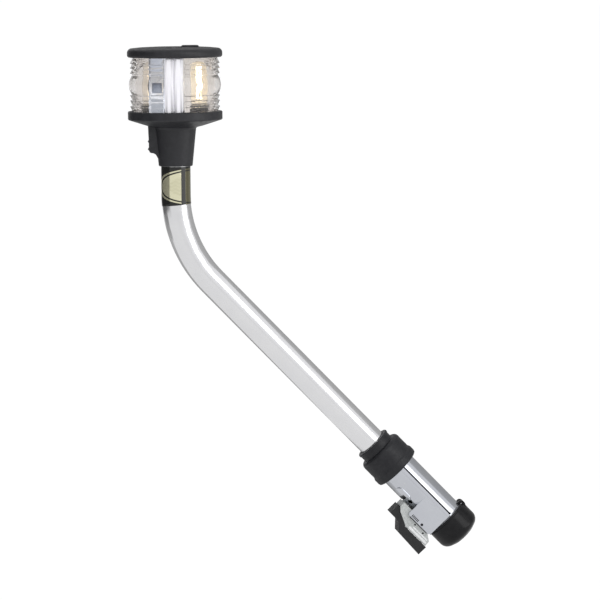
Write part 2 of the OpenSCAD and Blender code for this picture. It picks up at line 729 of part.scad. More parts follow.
clamp_sleeve();
grip_liner();
latch_pin();
cap_hinge_pin();
compression_ring();
latch_spring();
locking_collar();
collar_seal();
pole();
label_band();
wires();
contact_plug();
contact_ring();
plunger_spring();
contact_plunger();
head_base();
neck_set_screw();
switch_body();
rocker_pin();
switch_rocker();
base_gasket();
left_lens();
right_lens();
ladder_windows();
light_shutter();
left_screen();
right_screen();
bulb_sockets();
socket_springs();
bulb_bases();
left_bulb_glass();
right_bulb_glass();
filaments();
cap_gasket();
top_cap();
cap_screws();
latch_lever();
latch_grip();
lever_cross_pins();
grip_rivets();
end_cap();
cap_seal();
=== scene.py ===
"""Looks of the two-bulb navigation light on a bent pole. Metres, +Z up, in the CAD model's own frame."""
import json
import math

import bmesh
import bpy
from mathutils import Matrix, Vector


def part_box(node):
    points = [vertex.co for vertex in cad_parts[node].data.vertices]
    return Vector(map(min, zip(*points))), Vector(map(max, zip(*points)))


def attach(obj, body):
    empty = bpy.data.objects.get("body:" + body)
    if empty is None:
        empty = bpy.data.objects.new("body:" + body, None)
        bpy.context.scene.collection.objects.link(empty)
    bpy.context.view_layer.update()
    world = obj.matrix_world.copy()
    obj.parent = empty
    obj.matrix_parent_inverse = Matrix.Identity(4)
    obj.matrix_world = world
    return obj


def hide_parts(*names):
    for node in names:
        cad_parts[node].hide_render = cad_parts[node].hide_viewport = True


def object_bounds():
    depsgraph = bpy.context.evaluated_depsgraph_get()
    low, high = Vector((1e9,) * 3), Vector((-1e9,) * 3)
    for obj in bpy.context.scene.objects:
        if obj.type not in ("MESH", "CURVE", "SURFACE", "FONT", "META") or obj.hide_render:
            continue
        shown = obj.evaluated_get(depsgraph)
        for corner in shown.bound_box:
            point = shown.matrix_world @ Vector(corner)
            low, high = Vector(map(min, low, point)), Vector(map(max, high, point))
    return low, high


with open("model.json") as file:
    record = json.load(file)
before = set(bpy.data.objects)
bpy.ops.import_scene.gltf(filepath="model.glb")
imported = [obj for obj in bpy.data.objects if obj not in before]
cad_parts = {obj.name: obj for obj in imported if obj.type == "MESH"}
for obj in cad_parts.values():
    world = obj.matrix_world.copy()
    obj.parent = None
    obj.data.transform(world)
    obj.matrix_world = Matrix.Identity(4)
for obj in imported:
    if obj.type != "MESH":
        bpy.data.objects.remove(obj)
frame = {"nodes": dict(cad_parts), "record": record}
CAD_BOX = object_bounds()
NODES = frame["nodes"]
SCENE = bpy.context.scene
MM = 0.001

# ---------------------------------------------------------------- places, from the frame


def centre(node):
    """The middle of a CAD node's box."""
    low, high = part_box(node)
    return (low + high) / 2


HEAD_AXIS = Vector((centre("top_cap").x, centre("top_cap").y, 0))
BULB_LEFT = centre("left_bulb_glass")
BULB_RIGHT = centre("right_bulb_glass")
HEAD_TURN = math.atan2(BULB_RIGHT.y - BULB_LEFT.y, BULB_RIGHT.x - BULB_LEFT.x)
STEM_AXIS = Vector(frame["record"]["mounts"][0]["axis"])
LEAN = math.atan2(STEM_AXIS.x, -STEM_AXIS.z)
CORNER = Vector((HEAD_AXIS.x, 0, -HEAD_AXIS.x / math.tan(LEAN)))
MIDDLE = (CAD_BOX[0] + CAD_BOX[1]) / 2
# The head's own frame starts at the corner, the stem's at the sleeve's mouth. Z runs along each axis.
IN_HEAD = Matrix.Translation(CORNER) @ Matrix.Rotation(HEAD_TURN, 4, "Z")
IN_STEM = Matrix.Rotation(-LEAN, 4, "Y")

# ---------------------------------------------------------------- camera

VIEW_AZIMUTH = math.radians(-6)
VIEW_ELEVATION = math.radians(4.9)
VIEW_DISTANCE = 4.0
VIEW_AIM = Vector((-0.1302, 0, 0.1974))
VIEW_WIDTH = 0.531
VIEW_ROLL = math.radians(-0.45)
SENSOR_WIDTH = 36


def from_middle(azimuth, elevation, distance, aim=MIDDLE):
    flat = math.cos(elevation)
    way = Vector((math.sin(azimuth) * flat, -math.cos(azimuth) * flat, math.sin(elevation)))
    return aim + distance * way


def add_camera():
    """The photo's own view."""
    data = bpy.data.cameras.new("camera")
    data.sensor_width = SENSOR_WIDTH
    data.lens = SENSOR_WIDTH * VIEW_DISTANCE / VIEW_WIDTH
    data.clip_start = 0.05
    data.clip_end = 200
    camera = bpy.data.objects.new("camera", data)
    SCENE.collection.objects.link(camera)
    camera.location = from_middle(VIEW_AZIMUTH, VIEW_ELEVATION, VIEW_DISTANCE, VIEW_AIM)
    camera.rotation_mode = "QUATERNION"
    level = (VIEW_AIM - camera.location).to_track_quat("-Z", "Y")
    camera.rotation_quaternion = level @ Matrix.Rotation(VIEW_ROLL, 4, "Z").to_quaternion()
    SCENE.camera = camera


add_camera()

# ---------------------------------------------------------------- studio

FLOOR_Z = CAD_BOX[0].z - 0.06
FLOOR_HALF = 60.0
CARD_LIFT = 0.002


def place_facing(thing, azimuth, elevation, distance, roll):
    """Puts a flat thing round the object, facing its middle, turned in its own plane by roll. Degrees."""
    thing.location = from_middle(math.radians(azimuth), math.radians(elevation), distance)
    facing = (MIDDLE - thing.location).to_track_quat("-Z", "Y")
    thing.rotation_mode = "QUATERNION"
    thing.rotation_quaternion = facing @ Matrix.Rotation(math.radians(roll), 4, "Z").to_quaternion()


def add_softbox(name, azimuth, elevation, distance, width, height, radiance, roll=0.0):
    """A lamp of that size round the object, as bright as its radiance says whatever the size."""
    light = bpy.data.lights.new(name, "AREA")
    light.shape = "RECTANGLE"
    light.size = width
    light.size_y = height
    light.energy = radiance * math.pi * width * height
    lamp = bpy.data.objects.new(name, light)
    SCENE.collection.objects.link(lamp)
    place_facing(lamp, azimuth, elevation, distance, roll)
    lamp.visible_camera = False


def make_card(name, width, height, greys):
    """A card that only reflections see. Its grey goes from greys[0] to greys[1] across its width."""
    mesh = bpy.data.meshes.new(name)
    x, y = width / 2, height / 2
    mesh.from_pydata([(-x, -y, 0), (x, -y, 0), (x, y, 0), (-x, y, 0)], [], [(0, 1, 2, 3)])
    card = bpy.data.objects.new(name, mesh)
    SCENE.collection.objects.link(card)
    card.visible_camera = False
    card.visible_diffuse = False
    card.visible_transmission = False
    card.visible_shadow = False
    surface = bpy.data.materials.new(name)
    surface.use_nodes = True
    tree = surface.node_tree
    tree.nodes.clear()
    place = tree.nodes.new("ShaderNodeTexCoord")
    split = tree.nodes.new("ShaderNodeSeparateXYZ")
    fade = tree.nodes.new("ShaderNodeMapRange")
    fade.inputs["From Min"].default_value = -x
    fade.inputs["From Max"].default_value = x
    fade.inputs["To Min"].default_value, fade.inputs["To Max"].default_value = greys
    glow = tree.nodes.new("ShaderNodeEmission")
    out = tree.nodes.new("ShaderNodeOutputMaterial")
    tree.links.new(place.outputs["Object"], split.inputs[0])
    tree.links.new(split.outputs["X"], fade.inputs["Value"])
    tree.links.new(fade.outputs["Result"], glow.inputs["Color"])
    tree.links.new(glow.outputs[0], out.inputs["Surface"])
    mesh.materials.append(surface)
    return card


def add_card(name, azimuth, elevation, distance, width, height, greys, roll=0.0):
    """A card round the object, facing its middle."""
    card = make_card(name, width, height, greys)
    place_facing(card, azimuth, elevation, distance, roll)


def add_floor_card(name, x, y, width, depth, greys, turn=0.0):
    """A card that lies just above the floor, turned about Z by so many degrees."""
    card = make_card(name, width, depth, greys)
    card.location = (x, y, FLOOR_Z + CARD_LIFT)
    card.rotation_euler = (0, 0, math.radians(turn))


def add_world(seen, reflected):
    """A plain room. The camera sees it at one strength, everything else at the other."""
    world = bpy.data.worlds.new("studio")
    SCENE.world = world
    world.use_nodes = True
    tree = world.node_tree
    tree.nodes.clear()
    path = tree.nodes.new("ShaderNodeLightPath")
    room = tree.nodes.new("ShaderNodeBackground")
    room.inputs["Color"].default_value = (0.985, 0.985, 1.0, 1)
    room.inputs["Strength"].default_value = reflected
    white = tree.nodes.new("ShaderNodeBackground")
    white.inputs["Color"].default_value = (1, 1, 1, 1)
    white.inputs["Strength"].default_value = seen
    mix = tree.nodes.new("ShaderNodeMixShader")
    out = tree.nodes.new("ShaderNodeOutputWorld")
    tree.links.new(path.outputs["Is Camera Ray"], mix.inputs[0])
    tree.links.new(room.outputs[0], mix.inputs[1])
    tree.links.new(white.outputs[0], mix.inputs[2])
    tree.links.new(mix.outputs[0], out.inputs["Surface"])


def add_floor(seen, reflected):
    """A pale floor, with the same two strengths of its own light."""
    mesh = bpy.data.meshes.new("floor")
    corners = [(x * FLOOR_HALF, y * FLOOR_HALF, FLOOR_Z) for x, y in ((-1, -1), (1, -1), (1, 1), (-1, 1))]
    mesh.from_pydata(corners, [], [(0, 1, 2, 3)])
    floor = bpy.data.objects.new("floor", mesh)
    SCENE.collection.objects.link(floor)
    surface = bpy.data.materials.new("floor")
    surface.use_nodes = True
    tree = surface.node_tree
    shader = tree.nodes["Principled BSDF"]
    shader.inputs["Base Color"].default_value = (0.25, 0.25, 0.25, 1)
    shader.inputs["Roughness"].default_value = 0.9
    shader.inputs["Specular IOR Level"].default_value = 0
    path = tree.nodes.new("ShaderNodeLightPath")
    glow = tree.nodes.new("ShaderNodeMapRange")
    glow.inputs["To Min"].default_value = reflected
    glow.inputs["To Max"].default_value = seen
    shader.inputs["Emission Color"].default_value = (1, 1, 1, 1)
    tree.links.new(path.outputs["Is Camera Ray"], glow.inputs["Value"])
    tree.links.new(glow.outputs["Result"], shader.inputs["Emission Strength"])
    mesh.materials.append(surface)


SCENE.view_settings.view_transform = "Standard"
add_world(seen=1.05, reflected=0.78)
add_floor(seen=0.82, reflected=0.5)
# The key's strip runs along the stem; its frame and the flags are the greys that the metal reflects beside it
KEY_SIDE = {"azimuth": 43, "elevation": 15, "roll": -40}
add_softbox("key", distance=1.7, width=3.0, height=0.92, radiance=1.5, **KEY_SIDE)
add_card("key_frame", distance=1.75, width=3.2, height=1.03, greys=(0.4, 0.4), **KEY_SIDE)
add_card("right_flag", azimuth=135, elevation=8, distance=1.8, width=4.2, height=2.6, greys=(0.45, 0.3))
add_card("left_flag", azimuth=-104, elevation=10, distance=1.8, width=4.0, height=2.4, greys=(0.08, 0.17))
add_floor_card("floor_flag", x=-0.6, y=2.1, width=0.8, depth=3.6, greys=(0.42, 0.30))
add_floor_card("bend_flag", x=-1.45, y=0.95, width=0.9, depth=1.7, greys=(0.2, 0.35))
add_floor_card("edge_flag", x=-0.04, y=0.215, width=0.37, depth=0.28, greys=(0.55, 0.02), turn=90)

# ---------------------------------------------------------------- materials


class Finish:
    """A node material: a Principled shader with noise added to its colour, roughness and normal."""

    def __init__(self, name, colour, roughness, **sockets):
        self.material = bpy.data.materials.new(name)
        self.material.use_nodes = True
        self.tree = self.material.node_tree
        self.shader = self.tree.nodes["Principled BSDF"]
        self.shader.inputs["Base Color"].default_value = (*colour, 1)
        self.shader.inputs["Roughness"].default_value = roughness
        for socket, value in sockets.items():
            self.shader.inputs[socket.replace("_", " ")].default_value = value

    def node(self, kind, **inputs):
        """Adds a node and sets its inputs by their names, with _ for a space."""
        made = self.tree.nodes.new(kind)
        for key, value in inputs.items():
            made.inputs[key.replace("_", " ")].default_value = value
        return made

    def link(self, source, target):
        self.tree.links.new(source, target)

    def place(self):
        """The place on the object, which is in the CAD model's frame."""
        return self.node("ShaderNodeTexCoord").outputs["Object"]

    def axes(self):
        """The X, Y and Z of the place on the object."""
        split = self.node("ShaderNodeSeparateXYZ")
        self.link(self.place(), split.inputs[0])
        return split.outputs

    def noise(self, scale, detail=3.0):
        """A soft pattern of values around 0.5."""
        pattern = self.node("ShaderNodeTexNoise", Scale=scale, Detail=detail)
        self.link(self.place(), pattern.inputs["Vector"])
        return pattern.outputs["Fac"]

    def ramp(self, source, low, high, start=0.35, end=0.65):
        """Goes from low to high as source goes from start to end."""
        spread = self.node("ShaderNodeMapRange")
        spread.inputs["From Min"].default_value = start
        spread.inputs["From Max"].default_value = end
        spread.inputs["To Min"].default_value = low
        spread.inputs["To Max"].default_value = high
        self.link(source, spread.inputs["Value"])
        return spread.outputs["Result"]

    def mix(self, source, first, second):
        """Goes from first to second as source goes from 0 to 1. Each is a colour or another node's output."""
        made = self.node("ShaderNodeMix")
        made.data_type = "RGBA"
        for slot, value in ((6, first), (7, second)):
            if isinstance(value, tuple):
                made.inputs[slot].default_value = (*value, 1)
            else:
                self.link(value, made.inputs[slot])
        self.link(source, made.inputs[0])
        return made.outputs[2]

    def math(self, operation, first, second=None, third=None):
        """One maths node. Each operand is a number or another node's output."""
        made = self.tree.nodes.new("ShaderNodeMath")
        made.operation = operation
        for slot, value in enumerate((first, second, third)):
            if isinstance(value, (int, float)):
                made.inputs[slot].default_value = value
            elif value is not None:
                self.link(value, made.inputs[slot])
        return made.outputs[0]

    def length(self, first, second):
        """The length of a flat vector with these two parts."""
        squares = [self.math("MULTIPLY", part, part) for part in (first, second)]
        return self.math("SQRT", self.math("ADD", *squares))

    # Each of these adds to the finish and returns it, so that they can follow one another

    def glow(self, colour, strength):
        """Gives off a little light of its own."""
        self.shader.inputs["Emission Color"].default_value = (*colour, 1)
        self.shader.inputs["Emission Strength"].default_value = strength
        return self

    def grain(self, scale, height, detail=3.0):
        """Adds a bump of that height in metres to the surface."""
        bump = self.node("ShaderNodeBump", Strength=1.0, Distance=height)
        self.link(self.noise(scale, detail), bump.inputs["Height"])
        self.link(bump.outputs["Normal"], self.shader.inputs["Normal"])
        return self

    def uneven(self, scale, low, high):
        """Lets the roughness wander between low and high."""
        self.link(self.ramp(self.noise(scale, 4.0), low, high), self.shader.inputs["Roughness"])
        return self

    def mottle(self, scale, first, second):
        """Lets the colour wander between first and second."""
        wander = self.ramp(self.noise(scale, 4.0), 0, 1)
        self.link(self.mix(wander, first, second), self.shader.inputs["Base Color"])
        return self


LABEL_MIDDLE = centre("label_band").z
LABEL_R = 0.01295
# The oval's middle, and the black seam beside it, as turns about the pole from -Y towards +X
OVAL_TURN = math.radians(79)
SEAM_TURN = math.radians(26.5)
SEAM_HALF = math.radians(10)
# The painted shade past the seam fades out up to this turn
PAINTED_SHADE_END = math.radians(80)
SEAM_EDGE = 0.01
OVAL_HALF_WIDTH = 0.040
OVAL_HALF_HEIGHT = 0.0160
# Where the oval's parts start and end, as shares of its half sizes
FIELD_EDGE = (0.855, 0.87)
BORDER_IN = (0.925, 0.94)
BORDER_OUT = (0.99, 1.005)
HATCH_EDGE = (0.62, 0.66)
# The hatching's waves, in radians per metre along the pole and round it, and their height in radians
HATCH_PITCH = 5200
WAVE_PITCH = 900
WAVE_HEIGHT = 1.6
OVAL_BLACK = (0.012, 0.012, 0.011)
OVAL_GOLD = (0.93, 0.90, 0.64)
HATCH_GOLD = (0.42, 0.40, 0.24)
# Painted shade: the gold past the seam, darkest beside it, standing in for the dark reflections on that side
# of the pole
PAINTED_SHADE_GOLD = ((0.17, 0.16, 0.10), (0.36, 0.34, 0.22))


def label_finish():
    """Black label with a pale gold oval that wraps round the pole, hatched with fine waves. Past the seam the
    gold is painted darker, as shade.
    """
    made = Finish("label", OVAL_BLACK, 0.2)
    place = made.axes()
    from_axis = made.math("SUBTRACT", place["X"], CORNER.x)
    turn = made.math("ARCTAN2", from_axis, made.math("MULTIPLY", place["Y"], -1))
    turned = made.math("WRAP", made.math("SUBTRACT", turn, OVAL_TURN), math.pi, -math.pi)
    along = made.math("MULTIPLY", turned, LABEL_R)
    up = made.math("SUBTRACT", place["Z"], LABEL_MIDDLE)
    ring = made.length(made.math("DIVIDE", along, OVAL_HALF_WIDTH), made.math("DIVIDE", up, OVAL_HALF_HEIGHT))
    field = made.ramp(ring, 1, 0, *FIELD_EDGE)
    border = made.math("MULTIPLY", made.ramp(ring, 0, 1, *BORDER_IN), made.ramp(ring, 1, 0, *BORDER_OUT))
    from_seam = made.math("ABSOLUTE", made.math("SUBTRACT", turn, SEAM_TURN))
    printed = made.ramp(from_seam, 0, 1, SEAM_HALF - SEAM_EDGE, SEAM_HALF)
    gold = made.math("MULTIPLY", made.math("ADD", field, border), printed)
    wave = made.math("SINE", made.math("MULTIPLY", along, WAVE_PITCH))
    phase = made.math("ADD", made.math("MULTIPLY", up, HATCH_PITCH), made.math("MULTIPLY", wave, WAVE_HEIGHT))
    stripe = made.ramp(made.math("SINE", phase), 0, 0.55, 0.55, 0.8)
    hatch = made.math("MULTIPLY", stripe, made.ramp(ring, 1, 0, *HATCH_EDGE))
    lit = made.mix(hatch, OVAL_GOLD, HATCH_GOLD)
    # Painted shade: past the seam the gold darkens, most of all beside the seam
    painted_shade = made.mix(made.ramp(turn, 0, 1, SEAM_TURN + SEAM_HALF, PAINTED_SHADE_END), *PAINTED_SHADE_GOLD)
    fill = made.mix(made.ramp(turn, 0, 1, SEAM_TURN, SEAM_TURN + SEAM_HALF), lit, painted_shade)
    made.link(made.mix(gold, OVAL_BLACK, fill), made.shader.inputs["Base Color"])
    made.link(made.math("MULTIPLY", gold, 0.85), made.shader.inputs["Metallic"])
    made.uneven(500, 0.10, 0.16).grain(900, 0.000003)
    return made


SCREEN_RIM = (0.02, 0.03, 0.07)
SCREEN_MIDDLE = (0.17, 0.20, 0.27)


def shutter_finish():
    """Dark blue screen, paler and greyer towards its middle."""
    made = Finish("shutter", SCREEN_RIM, 0.3)
    low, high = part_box("light_shutter")
    middle, half = (low + high) / 2, (high - low) / 2
    place = made.axes()
    across = made.math("DIVIDE", made.math("SUBTRACT", place["X"], middle.x), half.x)
    up = made.math("DIVIDE", made.math("SUBTRACT", place["Z"], middle.z), half.z)
    out = made.math("MAXIMUM", made.math("ABSOLUTE", across), made.math("ABSOLUTE", up))
    screen = made.mix(made.ramp(out, 1, 0, 0.5, 0.8), SCREEN_RIM, SCREEN_MIDDLE)
    made.link(screen, made.shader.inputs["Base Color"])
    made.uneven(500, 0.25, 0.4).grain(2500, 0.00001)
    return made


# Painted light: the heights in metres above the window's foot over which its painted glow fades, and its
# colours at each end
PAINTED_GLOW_FADE = (0.012, 0.024)
PAINTED_GLOW_LOW = (0.88, 0.92, 1.0)
PAINTED_GLOW_HIGH = (0.07, 0.074, 0.08)


def ladder_finish():
    """Clear window whose lower part has a painted glow, standing in for the light that the screens scatter.
    """
    made = Finish("ladder_window", (0.84, 0.86, 0.91), 0.05, Transmission_Weight=0.9, IOR=1.35)
    made.mottle(60, (0.82, 0.84, 0.90), (0.86, 0.88, 0.93)).uneven(200, 0.03, 0.09).grain(300, 0.00001)
    # Painted light: the window glows, pale at its foot and nearly dark higher up
    made.glow(PAINTED_GLOW_LOW, 0.17)
    up = made.math("SUBTRACT", made.axes()["Z"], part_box("ladder_windows")[0].z)
    painted_glow = made.mix(made.ramp(up, 0, 1, *PAINTED_GLOW_FADE), PAINTED_GLOW_LOW, PAINTED_GLOW_HIGH)
    made.link(painted_glow, made.shader.inputs["Emission Color"])
    return made


BORE_EDGE = (0.0163, 0.0166)
# Painted shade inside the sleeve's bore
BORE_PAINTED_SHADE = (0.02, 0.02, 0.022)


def chrome_finish():
    """Bright outside. The bore, told by how near the stem's axis it is, is painted dark as shade."""
    made = Finish("chrome", (0.68, 0.70, 0.75), 0.09, Metallic=1.0)
    place = made.axes()
    across = made.math("ADD", made.math("MULTIPLY", place["X"], math.cos(LEAN)),
                       made.math("MULTIPLY", place["Z"], math.sin(LEAN)))
    outside = made.ramp(made.length(across, place["Y"]), 0, 1, *BORE_EDGE)
    bright = made.mix(made.ramp(made.noise(40, 4.0), 0, 1), (0.66, 0.68, 0.73), (0.71, 0.73, 0.77))
    made.link(made.mix(outside, BORE_PAINTED_SHADE, bright), made.shader.inputs["Base Color"])
    made.uneven(90, 0.06, 0.13).grain(55, 0.00003, 1.0)
    return made


CHROME = chrome_finish()
POLE = Finish("pole_aluminium", (0.94, 0.94, 0.95), 0.12, Metallic=1.0)
POLE.mottle(70, (0.925, 0.925, 0.94), (0.955, 0.955, 0.965)).uneven(260, 0.11, 0.18).grain(60, 0.000008, 1.0)
STEEL = Finish("steel", (0.56, 0.56, 0.57), 0.3, Metallic=1.0)
STEEL.uneven(900, 0.22, 0.4).grain(3000, 0.000004)
DARK_STEEL = Finish("dark_steel", (0.10, 0.10, 0.11), 0.32, Metallic=1.0)
DARK_STEEL.mottle(900, (0.08, 0.08, 0.09), (0.13, 0.13, 0.14))
DARK_STEEL.uneven(900, 0.25, 0.4).grain(3000, 0.000004)
CAST = Finish("lever_cast", (0.56, 0.58, 0.57), 0.55, Metallic=0.35)
CAST.mottle(500, (0.50, 0.52, 0.51), (0.62, 0.64, 0.63)).uneven(700, 0.45, 0.68).grain(2600, 0.00006)
POLISHED = Finish("lever_polished", (0.84, 0.85, 0.85), 0.35, Metallic=0.2)
POLISHED.mottle(500, (0.80, 0.81, 0.81), (0.88, 0.89, 0.89)).uneven(700, 0.28, 0.42).grain(2600, 0.00003)
HEAD = Finish("head_plastic", (0.017, 0.0175, 0.021), 0.42, Specular_IOR_Level=0.45)
HEAD.mottle(220, (0.015, 0.0155, 0.0185), (0.020, 0.0205, 0.0245))
HEAD.uneven(300, 0.36, 0.5).grain(5200, 0.000025)
COLLAR = Finish("collar_plastic", (0.013, 0.0134, 0.0165), 0.40, Specular_IOR_Level=0.36)
COLLAR.mottle(260, (0.010, 0.0105, 0.0135), (0.016, 0.0165, 0.0195))
COLLAR.uneven(240, 0.34, 0.5).grain(3800, 0.00004)
CAP = Finish("cap_rubber", (0.007, 0.007, 0.008), 0.22, Specular_IOR_Level=0.26)
CAP.mottle(200, (0.005, 0.005, 0.006), (0.009, 0.009, 0.010)).uneven(160, 0.15, 0.26).grain(4200, 0.00002)
GRIP = Finish("grip_plastic", (0.016, 0.016, 0.017), 0.55, Specular_IOR_Level=0.42)
GRIP.mottle(300, (0.012, 0.012, 0.013), (0.022, 0.022, 0.023)).uneven(300, 0.48, 0.66).grain(2200, 0.00009)
SOCKET = Finish("socket_plastic", (0.010, 0.010, 0.011), 0.4)
SOCKET.mottle(300, (0.008, 0.008, 0.009), (0.013, 0.013, 0.014)).uneven(300, 0.34, 0.5).grain(3500, 0.00003)
# The white screens glow a little: painted light
WHITE = Finish("white_plastic", (0.88, 0.87, 0.90), 0.25)
WHITE.mottle(90, (0.86, 0.85, 0.89), (0.90, 0.89, 0.92)).uneven(200, 0.2, 0.32).grain(2500, 0.000008)
WHITE.glow((0.95, 0.95, 1.0), 0.16)
# The lens's faint warm glow is painted light
LENS = Finish("clear_lens", (0.97, 0.94, 0.91), 0.06, Transmission_Weight=0.95, IOR=1.32)
LENS.mottle(30, (0.955, 0.93, 0.905), (0.925, 0.895, 0.865)).uneven(160, 0.03, 0.09)
LENS.grain(140, 0.00001, 1.0).glow((1.0, 0.93, 0.88), 0.01)
LADDER = ladder_finish()
SHUTTER = shutter_finish()
BULB = Finish("bulb_glass", (1.0, 0.97, 0.92), 0.02, Transmission_Weight=1.0, IOR=1.3)
BULB.mottle(60, (1.0, 0.975, 0.93), (0.98, 0.94, 0.87)).grain(120, 0.00001, 1.0)
LIT = Finish("lit_glass", (1.0, 0.95, 0.86), 0.12, Transmission_Weight=0.97, IOR=1.15)
LIT.mottle(60, (1.0, 0.96, 0.88), (0.99, 0.93, 0.82)).grain(120, 0.00001, 1.0).glow((1.0, 0.86, 0.62), 0.05)
COIL = Finish("lit_coil", (1.0, 0.9, 0.7), 0.4)
COIL.mottle(900, (1.0, 0.92, 0.74), (1.0, 0.86, 0.62)).uneven(900, 0.3, 0.5).glow((1.0, 0.93, 0.78), 3.0)
DIM_COIL = Finish("dim_coil", (1.0, 0.9, 0.7), 0.4)
DIM_COIL.mottle(900, (1.0, 0.92, 0.74), (1.0, 0.86, 0.62)).uneven(900, 0.3, 0.5).glow((1.0, 0.93, 0.80), 0.9)
FILAMENT = Finish("filament", (0.3, 0.29, 0.27), 0.4, Metallic=1.0)
FILAMENT.mottle(900, (0.25, 0.24, 0.22), (0.36, 0.34, 0.30)).uneven(2000, 0.3, 0.5)
BASE = Finish("bulb_base", (0.34, 0.32, 0.27), 0.25, Metallic=1.0)
BASE.mottle(400, (0.30, 0.28, 0.23), (0.40, 0.37, 0.31)).uneven(900, 0.18, 0.35).grain(2200, 0.000005)
BRASS = Finish("brass", (0.72, 0.55, 0.25), 0.25, Metallic=1.0)
BRASS.mottle(400, (0.66, 0.49, 0.21), (0.78, 0.61, 0.30)).uneven(900, 0.18, 0.35).grain(2500, 0.000005)
LABEL = label_finish()
WIRE = Finish("wire", (0.35, 0.02, 0.02), 0.4)
WIRE.mottle(400, (0.3, 0.015, 0.015), (0.42, 0.03, 0.03)).uneven(400, 0.3, 0.5)
NYLON = Finish("nylon", (0.72, 0.70, 0.62), 0.45)
NYLON.mottle(300, (0.68, 0.66, 0.58), (0.76, 0.74, 0.66)).uneven(300, 0.4, 0.55).grain(2500, 0.00001)
RUBBER = Finish("rubber", (0.012, 0.012, 0.012), 0.7)
RUBBER.mottle(300, (0.009, 0.009, 0.009), (0.016, 0.016, 0.016)).uneven(300, 0.6, 0.8).grain(2600, 0.00004)
BY_SLOT = {
    "chrome": CHROME, "pole_aluminium": POLE, "steel": STEEL, "lever_cast": CAST, "head_plastic": HEAD,
    "collar_plastic": COLLAR, "cap_rubber": CAP, "grip_plastic": GRIP, "socket_plastic": SOCKET,
    "white_plastic": WHITE, "clear_lens": LENS, "shutter": SHUTTER, "bulb_glass": BULB, "lit_glass": LIT,
    "filament": FILAMENT, "bulb_base": BASE, "brass": BRASS, "label": LABEL, "wire": WIRE, "nylon": NYLON,
    "rubber": RUBBER,
}
BY_NODE = {"ladder_windows": LADDER, "lever_cross_pins": DARK_STEEL, "latch_pin": DARK_STEEL}
SLOT_OF = {row["node"]: row["material_slot"] for row in frame["record"]["subparts"]}

# ---------------------------------------------------------------- CAD nodes

WELD_GAP = 0.000002
BEVEL_ANGLE = math.radians(32)
# How wide a node's edges are rounded, in metres
EDGES = {
    "clamp_sleeve": 0.0003, "latch_lever": 0.0003, "latch_grip": 0.0008,
    "end_cap": 0.0002, "head_base": 0.0004, "switch_rocker": 0.0001,
}


def finish_node(name, edge):
    """Gives a CAD node its material and softens its edges."""
    thing = NODES[name]
    mesh = thing.data
    if "custom_normal" in mesh.attributes:
        mesh.attributes.remove(mesh.attributes["custom_normal"])
    mesh.shade_smooth()
    mesh.materials.clear()
    mesh.materials.append(BY_NODE.get(name, BY_SLOT[SLOT_OF[name]]).material)
    weld = thing.modifiers.new("weld", "WELD")
    weld.merge_threshold = WELD_GAP
    if edge:
        bevel = thing.modifiers.new("bevel", "BEVEL")
        bevel.width = edge
        bevel.segments = 2
        bevel.limit_method = "ANGLE"
        bevel.angle_limit = BEVEL_ANGLE
        bevel.harden_normals = False
    steady = thing.modifiers.new("normals", "WEIGHTED_NORMAL")
    steady.weight = 80


for node_name in NODES:
    finish_node(node_name, EDGES.get(node_name, 0.0))

# ---------------------------------------------------------------- mesh helpers


def add_piece(name, mesh, finish, body, sharp):
    """Links a mesh as a piece that rides on a body, smooth except along its sharp edges."""
    mesh.shade_smooth()
    mesh.set_sharp_from_angle(angle=math.radians(sharp))
    mesh.materials.append(finish.material)
    piece = bpy.data.objects.new(name, mesh)
    SCENE.collection.objects.link(piece)
    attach(piece, body)
    return piece


def mesh_from(name, build, place):
    """A mesh made by build(bm) in a local frame in millimetres, then put in its place."""
    bm = bmesh.new()
    build(bm)
    bmesh.ops.recalc_face_normals(bm, faces=bm.faces)
    bmesh.ops.transform(bm, matrix=place @ Matrix.Scale(MM, 4), verts=bm.verts)
    mesh = bpy.data.meshes.new(name)
    bm.to_mesh(mesh)
    bm.free()
    return mesh


def skin(bm, rings):
    """Faces between closed rings of as many points each, and one over each end."""
    for first, second in zip(rings, rings[1:]):
        for i in range(len(first)):
            j = (i + 1) % len(first)
            bm.faces.new((first[i], first[j], second[j], second[i]))
    bm.faces.new(rings[0])
    bm.faces.new(rings[-1])


def revolve(bm, outline, start, sweep, steps):
    """Turns a closed outline of (radius, height) points about Z, from angle start, in degrees."""
    rings = []
    for step in range(steps + 1):
        angle = math.radians(start + sweep * step / steps)
        rings.append([bm.verts.new((r * math.cos(angle), r * math.sin(angle), z)) for r, z in outline])
    skin(bm, rings)


def sweep_tube(bm, path, radius, sides):
    """A closed round tube along a path of points."""
    rings = []
    for i, point in enumerate(path):
        ahead = path[min(i + 1, len(path) - 1)] - path[max(i - 1, 0)]
        turn = ahead.to_track_quat("Z", "Y")
        ring = []
        for k in range(sides):
            angle = 2 * math.pi * k / sides
            spoke = Vector((radius * math.cos(angle), radius * math.sin(angle), 0))
            ring.append(bm.verts.new(point + turn @ spoke))
        rings.append(ring)
    skin(bm, rings)


# ---------------------------------------------------------------- lens

# Radii about the head's axis and heights above the corner, in millimetres
LENS_LOW, LENS_HIGH = ((value.z - CORNER.z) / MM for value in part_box("right_lens"))
LENS_SPIGOT = 2.4
LENS_IN = 35.0
LENS_WALL = 37.4
FOOT_LOW = 0.4
FOOT_HIGH = 0.6
LENS_NOTCH = 37.75
RIB_TIP = 39.5
RIB_RISE = 3.6
RIB_LAND = 0.35
RIB_BLUNT_IN, RIB_BLUNT_UP = 0.14, 0.18
# How high the ribs' tips are above the lens's lower shoulder, below the round band and above it
TIPS_BELOW = (4.4, 9.5, 14.2)
TIPS_ABOVE = (33.3, 37.8, 42.1)
BARREL_TIP = 40.4
BARREL_HALF = 8.5
BARREL_CURVE = 14.5
BARREL_DROP = 0.55
BARREL_STEPS = 28
STEPS_PER_DEGREE = 1.5
# How far each lens's ends stay from the plane between the two, in degrees
LEFT_EDGE = 34.3
RIGHT_EDGE = 14.3


